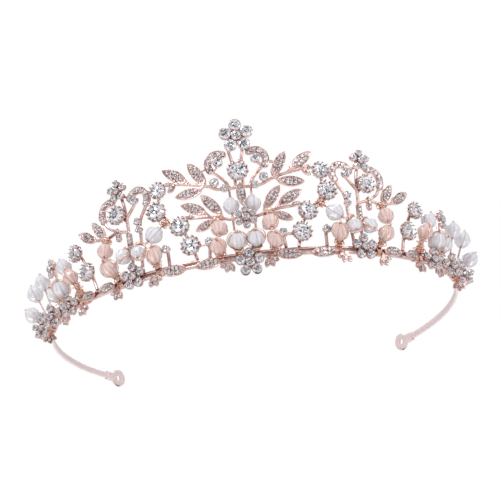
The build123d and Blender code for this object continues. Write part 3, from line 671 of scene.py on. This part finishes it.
def make_metal():
    """The band with its ends, and every soldered part of the front."""
    band_strip()
    for side in SIDES:
        cast_piece(f"{side}_end_loop", f"{side}_eyelet", 6, satin, 1.0)
        cast_piece(f"{side}_ferrule", f"{side}_crimp", 5, satin, 1.0)
    whole = ["centre_frame", "top_flower", "middle_flower", "base_flower", "drop_leaf", "rail_leaves",
             "trefoil_buds", "bezel_cups", "end_flowers"]
    for side in SIDES:
        whole += [f"{side}_{part}" for part in ("upper_spray", "lower_spray", "stone_stem", "side_frame",
                                                "side_flower", "side_base_flower", "end_vine")]
    for node in whole:
        cast_piece(f"{node}_metal", node)
    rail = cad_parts["rail_wires"]
    rail.data.materials.clear()
    rail.data.materials.append(rose_gold)


# ---- stones and their settings ----
def claw_set(name, stone_node, cup_node):
    """Large stones, each in a ring of folded claws on a base plate."""
    stones = Build()
    settings = Build()
    for corners in solids_of(stone_node):
        seat = Turned(corners)
        place = seat.place(dice.uniform(0, 1))
        radius = CLAW_STONE_FILL * seat.radius
        stones.add(cut_stone(radius, seat.height, STONE_SIDES), place)
        plate = PLATE_THICKNESS * MM
        rings = [(reach * radius, level * plate, 0) for reach, level in PLATE_PROFILE]
        points, faces, _ = ringed(rings, PLATE_SIDES, apex=rings[-1][1])
        settings.add((points, faces, [0.5] * len(faces)), place)
        settings.add(hoop(1.03 * radius, 0.3 * seat.height, CLAW_HOOP_WIRE * MM), place)
        for k in range(CLAW_COUNT):
            turn = 2 * math.pi * k / CLAW_COUNT + dice.uniform(-0.04, 0.04)
            settings.add(claw(radius, seat.height, CLAW_WIDTH * MM, turn), place)
    piece(f"{name}_stones", stones, crystal, nodes=[stone_node], smooth=False)
    piece(f"{name}_settings", settings, pale_gold, nodes=[cup_node])


def petal_set(name, stone_node):
    """Flower and cup stones, each held by small claws."""
    stones = Build()
    claws = Build()
    for corners in solids_of(stone_node):
        seat = Turned(corners)
        place = seat.place(dice.uniform(0, 1))
        radius = PETAL_STONE_FILL * seat.radius
        stones.add(cut_stone(radius, seat.height, PETAL_SIDES, PETAL_DARKNESS), place)
        claws.add(hoop(PETAL_RIM_REACH * seat.radius, 0.2 * seat.height, PETAL_RIM * MM), place)
        for k in range(PETAL_CLAWS):
            turn = 2 * math.pi * k / PETAL_CLAWS + dice.uniform(-0.05, 0.05)
            claws.add(claw(PETAL_CLAW_REACH * seat.radius, seat.height, PETAL_CLAW_WIDTH * MM, turn), place)
    piece(f"{name}_stones", stones, crystal, nodes=[stone_node], smooth=False)
    piece(f"{name}_claws", claws, pale_gold)


def pave_set(name, stone_node):
    """Small stones in a tray, with grains of metal raised round each."""
    stones = Build()
    grains = Build()
    for corners in solids_of(stone_node):
        seat = Turned(corners)
        place = seat.place(dice.uniform(0, 6.28))
        stones.add(small_stone(PAVE_STONE_FILL * seat.radius, seat.height), place)
        for k in range(GRAINS):
            turn = 2 * math.pi * (k + 0.5) / GRAINS
            reach = GRAIN_REACH * seat.radius
            spot = np.eye(4)
            spot[:3, 3] = (reach * math.cos(turn), reach * math.sin(turn), GRAIN_LEVEL * seat.height)
            grains.add(ball(GRAIN_RADIUS * MM, 6, 4), seat.place() @ spot)
    piece(f"{name}_stones", stones, pave, nodes=[stone_node], smooth=False)
    piece(f"{name}_grains", grains, pale_gold)


def make_stones():
    """Every set stone."""
    claw_set("centre_claw", "centre_claw_stone", "centre_claw_cup")
    claw_set("claw", "claw_stones", "claw_cups")
    for node in ("centre_flower_stones", "side_flower_stones", "end_flower_stones", "bezel_stones"):
        petal_set(node.replace("_stones", "_set"), node)
    pave_nodes = ["rail_stones", "centre_pave_stones", "side_pave_stones"]
    for node in pave_nodes + [f"{side}_spray_stones" for side in SIDES]:
        pave_set(node.replace("_stones", "_row"), node)


# ---- beads and their wires ----
def bead_piece(name, node, body, material, bore, found):
    """The beads of one CAD node as cut glass.

    Adds each bead's middle, axis and radius to found, and whether it turns and its number of loops.
    """
    build = Build()
    for corners in solids_of(node):
        seat = Turned(corners)
        middle = seat.base + seat.axis * seat.height / 2
        build.add(cut_bead(seat.radius, bore), placing(middle, seat.axis, dice.uniform(0, 1)))
        found.append((middle, seat.axis, seat.radius, body != ROOT, 1 if material == pink_glass else 2))
    piece(name, build, material, body=body, nodes=[node], smooth=False)


def wire_stem(build, coil_build, middle, axis, radius, turns, loops, solids):
    """A bead's stem of two twisted strands, with a coil at its root and a ball past the bead.

    It runs the length of the CAD wire on the bead's axis, whose thicker end is the root. A nest of slack
    wire lies round the root. A bead that doesn't turn is also held by loops of wire round it.
    """
    best = None
    for corners in solids:
        offset = corners.reshape(-1, 3) - middle
        along = offset @ axis
        apart = np.linalg.norm(offset - np.outer(along, axis), axis=1)
        near = (apart < STEM_REACH * MM).sum()
        if near == len(apart) and (best is None or near > best[0]):
            best = (near, along, apart)
    if best is None:
        return
    along, apart = best[1], best[2]
    low, high = along.min(), along.max()
    width_low = apart[along < low + LOW_END * MM].max()
    width_high = apart[along > high - HIGH_END * MM].max()
    if width_high > width_low:
        axis = -axis
        low, high = -high, -low
    place = placing(middle, axis)
    end = high - BALL_RADIUS * MM
    for phase in (0.0, math.pi):
        path = helix(low, end - low, STRAND_OFFSET * MM, STRAND_PITCH * MM, phase, 10)
        build.add(tube(path, rounded_ends(len(path), STRAND_RADIUS * MM), 7), place)
    room = -BEAD_HALF_LENGTH * radius - low - COIL_CLEARANCE * MM
    length = min(COIL_LENGTH * MM, room)
    if length > SHORTEST_COIL * MM:
        path = helix(low + COIL_WIRE * MM, length, COIL_RADIUS * MM, COIL_PITCH * MM)
        coil_build.add(tube(path, rounded_ends(len(path), COIL_WIRE * MM), 6), place)
    top = np.eye(4)
    top[2, 3] = end
    build.add(ball(BALL_RADIUS * MM), place @ top)
    root = middle + axis * low
    if abs(root[2] - RAIL_LEVEL) < WRAP_RANGE * MM:
        rail_wrap(coil_build, root)
    if turns:
        if room > NEST_NEEDS * MM:
            coil_build.add(nest(low, min(room - NEST_CLEARANCE * MM, NEST_MOST * MM)), place)
        return
    coil_build.add(nest(low, max(room, NEST_LEAST * MM)), place)
    for step in range(loops):
        gap = (LOOP_GAP + LOOP_SPACING * step) * MM
        lean = dice.uniform(*PAIR_LEAN) if loops == 2 else dice.choice((-1, 1)) * dice.uniform(*LONE_LEAN)
        coil_build.add(loop_round(radius + gap, low, lean), place)


def nest(low, room):
    """Slack, uneven turns of wire round a bead's root."""
    first, second = dice.uniform(0, 6.28), dice.uniform(0, 6.28)
    path = []
    steps = WIRE_STEPS * NEST_TURNS
    for k in range(steps + 1):
        angle = 2 * math.pi * k / WIRE_STEPS
        reach = (NEST_RADIUS + NEST_SWELL * math.sin(NEST_SWELL_WAVES * angle + first)) * MM
        sway = NEST_SWAY * MM * math.sin(NEST_SWAY_WAVES * angle + second)
        height = low + NEST_START * MM + room * k / steps + sway
        path.append((reach * math.cos(angle), reach * math.sin(angle), height))
    return tube(path, rounded_ends(len(path), LOOP_WIRE * MM), 6)


def rail_wrap(build, root):
    """A few turns of wire round the band and its two rail wires, beside a bead's root."""
    middle = math.atan2(root[0], BAND_CENTRE[1] - root[1])
    wire = COIL_WIRE * MM
    inner = BAND_RADIUS - BAND_THICKNESS * MM - wire
    outer = RAIL_REACH + wire
    steps = WIRE_STEPS * WRAP_TURNS
    path = []
    for k in range(steps + 1):
        angle = 2 * math.pi * k / WIRE_STEPS
        across, up = (math.copysign(abs(share) ** WRAP_SQUARENESS, share)
                      for share in (math.cos(angle), math.sin(angle)))
        reach = (inner + outer) / 2 + (outer - inner) / 2 * across
        height = RAIL_LEVEL + (RAIL_HALF_HEIGHT + wire) * up
        turn = middle + (k / steps - 0.5) * WRAP_TURNS * WRAP_PITCH * MM / BAND_RADIUS
        path.append((reach * math.sin(turn), BAND_CENTRE[1] - reach * math.cos(turn), height))
    build.add(tube(path, rounded_ends(len(path), wire), 6))


def loop_round(radius, low, tilt):
    """A loop of wire from the root, round a bead on the origin and back, in a plane turned by the tilt."""
    path = [(0.0, 0.0, low)]
    for k in range(LOOP_STEPS + 1):
        angle = math.radians(-LOOP_HALF_TURN + 2 * LOOP_HALF_TURN * k / LOOP_STEPS)
        path.append((radius * math.sin(angle) * math.cos(tilt), radius * math.sin(angle) * math.sin(tilt),
                     radius * math.cos(angle)))
    path.append((0.0, 0.0, low))
    return tube(path, rounded_ends(len(path), LOOP_WIRE * MM), 6)


def make_beads():
    """The turning beads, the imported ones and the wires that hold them."""
    found = []
    for side in SIDES:
        # The hanging beads turn on posts of the middle frame, so they get no stems.
        bead_piece(f"{side}_hanging_glass", f"{side}_hanging_bead", f"{side}_hanging_bead_body", clear_glass,
                   HANGING_BORE * MM, [])
        for name in ("waist", "shoulder", "crest", "corner", "end", "side"):
            material, slot = (pink_glass, "pink_bead") if name == "side" else (clear_glass, "clear_bead")
            bead_piece(f"{side}_{name}_glass", f"{side}_{name}_bead", f"{side}_{name}_bead_body", material,
                       BEAD_BORE * MM, found)
    bead_piece("clear_cluster_glass", "clear_beads", ROOT, clear_glass, BEAD_BORE * MM, found)
    bead_piece("pink_cluster_glass", "pink_beads", ROOT, pink_glass, BEAD_BORE * MM, found)
    for side, sign in zip(SIDES, (1, -1)):
        solids = solids_of(f"{side}_bead_wires")
        stems = Build()
        coils = Build()
        for bead in found:
            if bead[0][0] * sign > 0:
                wire_stem(stems, coils, *bead, solids)
        piece(f"{side}_bead_stems", stems, rose_gold, nodes=[f"{side}_bead_wires"])
        piece(f"{side}_bead_coils", coils, copper)


# ---- studio ----
CAMERA_LENS = 115.5
CAMERA_DISTANCE = 0.6
CAMERA_AZIMUTH = -0.49
CAMERA_ELEVATION = -18.14
CAMERA_ROLL = -7.43
CAMERA_SENSOR = 36.0
# The target's x and z, in millimetres; its y is the band's centre.
CAMERA_TARGET = (1.3, 33.5)
# Each light's name, place from the tiara's middle, size in metres and power in watts.
LIGHTS = [("key", (-0.35, -0.5, 0.55), 0.3, 2.6), ("fill", (0.55, -0.35, 0.1), 0.55, 1.1),
          ("back", (0.1, 0.6, 0.5), 0.3, 1.2)]
# The surround's dark and white ends, as (place from straight down to straight up, colour).
GROUND = (0.3, (0.2, 0.18, 0.19, 1.0))
SKY = (0.82, (1.0, 1.0, 1.0, 1.0))
SURROUND_STRENGTH = 0.75
# The table top's reach, and where it starts and ends to fade, as shares of the band's radius.
TABLE_REACH = 12
FADE_START = 3.5
FADE_END = 10
TABLE_SIDES = 96


def make_camera():
    """A long lens from a little below the band's level, tipped to one side."""
    azimuth, elevation, roll = (math.radians(v) for v in (CAMERA_AZIMUTH, CAMERA_ELEVATION, CAMERA_ROLL))
    back = Vector((math.sin(azimuth) * math.cos(elevation), -math.cos(azimuth) * math.cos(elevation),
                   math.sin(elevation)))
    right = Vector((math.cos(azimuth), math.sin(azimuth), 0.0))
    up = back.cross(right)
    tipped_right = right * math.cos(roll) + up * math.sin(roll)
    tipped_up = up * math.cos(roll) - right * math.sin(roll)
    camera = bpy.data.objects.new("camera", bpy.data.cameras.new("camera"))
    bpy.context.scene.collection.objects.link(camera)
    camera.data.lens = CAMERA_LENS
    camera.data.sensor_width = CAMERA_SENSOR
    camera.data.clip_start = 0.01
    target = Vector((CAMERA_TARGET[0] * MM, BAND_CENTRE[1], CAMERA_TARGET[1] * MM))
    turn = Matrix((tipped_right, tipped_up, back)).transposed().to_4x4()
    camera.matrix_world = Matrix.Translation(target + back * CAMERA_DISTANCE) @ turn
    bpy.context.scene.camera = camera


def make_light(name, where, size, power, middle):
    """A soft square light that faces the tiara."""
    data = bpy.data.lights.new(name, "AREA")
    data.size = size
    data.energy = power
    light = bpy.data.objects.new(name, data)
    light.location = middle + Vector(where)
    light.rotation_mode = "QUATERNION"
    light.rotation_quaternion = (-Vector(where)).to_track_quat("-Z", "Y")
    bpy.context.scene.collection.objects.link(light)


def make_world():
    """A white surround that dims towards the ground, so that metal and stones have something to reflect."""
    world = bpy.data.worlds.new("studio")
    bpy.context.scene.world = world
    world.use_nodes = True
    tree = world.node_tree
    sky = tree.nodes["Background"]
    where = tree.nodes.new("ShaderNodeTexCoord")
    parts = tree.nodes.new("ShaderNodeSeparateXYZ")
    tree.links.new(where.outputs["Generated"], parts.inputs["Vector"])
    ramp = tree.nodes.new("ShaderNodeValToRGB")
    span = tree.nodes.new("ShaderNodeMapRange")
    span.inputs["From Min"].default_value = -1.0
    tree.links.new(parts.outputs["Z"], span.inputs["Value"])
    tree.links.new(span.outputs["Result"], ramp.inputs["Fac"])
    for element, (place, colour) in zip(ramp.color_ramp.elements, (GROUND, SKY)):
        element.position = place
        element.color = colour
    tree.links.new(ramp.outputs["Color"], sky.inputs["Color"])
    sky.inputs["Strength"].default_value = SURROUND_STRENGTH
    white = tree.nodes.new("ShaderNodeBackground")
    white.inputs["Strength"].default_value = 1.0
    white.inputs["Color"].default_value = (1.0, 1.0, 1.0, 1.0)
    seen = tree.nodes.new("ShaderNodeLightPath")
    choice = tree.nodes.new("ShaderNodeMixShader")
    tree.links.new(seen.outputs["Is Camera Ray"], choice.inputs["Fac"])
    tree.links.new(sky.outputs["Background"], choice.inputs[1])
    tree.links.new(white.outputs["Background"], choice.inputs[2])
    tree.links.new(choice.outputs["Shader"], tree.nodes["World Output"].inputs["Surface"])


def make_floor():
    """A pale round table top that fades to white, and is clear from below so that it hides nothing there."""
    made = Recipe("table_top", Roughness=0.7)
    shades = [(0.3, (0.89, 0.885, 0.885)), (0.7, (0.91, 0.91, 0.91))]
    made.feed(Base_Color=made.ramp(made.noise(25.0, 3.0), shades))
    tree = made.tree
    where = made.node("ShaderNodeTexCoord").outputs["Object"]
    away = made.node("ShaderNodeVectorMath", {0: where}, operation="LENGTH").outputs["Value"]
    far = made.node("ShaderNodeMapRange", {"Value": away}, From_Min=FADE_START * BAND_RADIUS,
                    From_Max=FADE_END * BAND_RADIUS)
    white = made.node("ShaderNodeEmission", Color=(1.0, 1.0, 1.0, 1.0), Strength=1.0).outputs["Emission"]
    pale = made.shader.outputs["BSDF"]
    faded = made.node("ShaderNodeMixShader", {0: far.outputs["Result"], 1: pale, 2: white})
    under = made.node("ShaderNodeNewGeometry").outputs["Backfacing"]
    clear = made.node("ShaderNodeBsdfTransparent").outputs["BSDF"]
    choice = made.node("ShaderNodeMixShader", {0: under, 1: faded.outputs["Shader"], 2: clear})
    tree.links.new(choice.outputs["Shader"], tree.nodes["Material Output"].inputs["Surface"])
    reach = TABLE_REACH * BAND_RADIUS
    mesh = bpy.data.meshes.new("floor")
    angles = [2 * math.pi * k / TABLE_SIDES for k in range(TABLE_SIDES)]
    mesh.from_pydata([(reach * math.cos(angle), reach * math.sin(angle), 0.0) for angle in angles],
                     [], [tuple(range(TABLE_SIDES))])
    mesh.materials.append(made.material)
    floor = bpy.data.objects.new("floor", mesh)
    floor.location.z = cad_bounds[0].z
    bpy.context.scene.collection.objects.link(floor)


make_metal()
make_stones()
make_beads()
make_camera()
make_world()
make_floor()
middle = (cad_bounds[0] + cad_bounds[1]) / 2
for name, where, size, power in LIGHTS:
    make_light(name, where, size, power, middle)
bpy.context.scene.view_settings.view_transform = "Standard"
